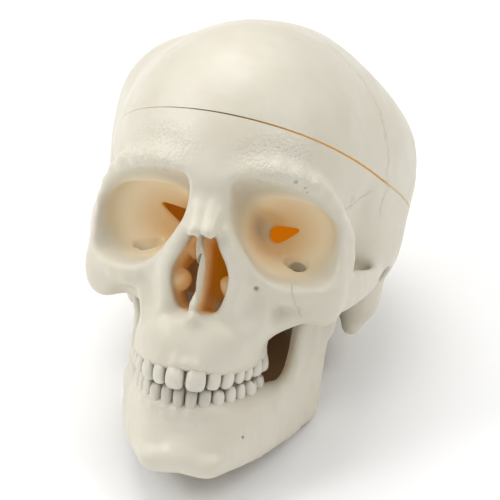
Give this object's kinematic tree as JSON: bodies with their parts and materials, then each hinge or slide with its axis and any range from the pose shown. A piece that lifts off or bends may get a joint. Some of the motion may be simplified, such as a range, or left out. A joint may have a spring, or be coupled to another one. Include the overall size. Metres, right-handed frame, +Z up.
{
  "type": "plastic anatomical skull model",
  "caption": "Life-size cream plastic human skull model with a sawn skullcap and a fixed lower jaw, tipped back as it rests on a table.",
  "frame": {"origin": "centre of the footprint of the resting skull, at the level of the ground", "axes": "+Z up, -Y the way the face looks, +X to the skull's own left"},
  "size_m": [0.1442, 0.234, 0.1674],
  "materials": {
    "cream_plastic": "cream moulded plastic with a soft gloss"
  },
  "bodies": {
    "root": {"cranium": "cream_plastic", "skullcap": "cream_plastic", "mandible": "cream_plastic"}
  },
  "joints": []
}
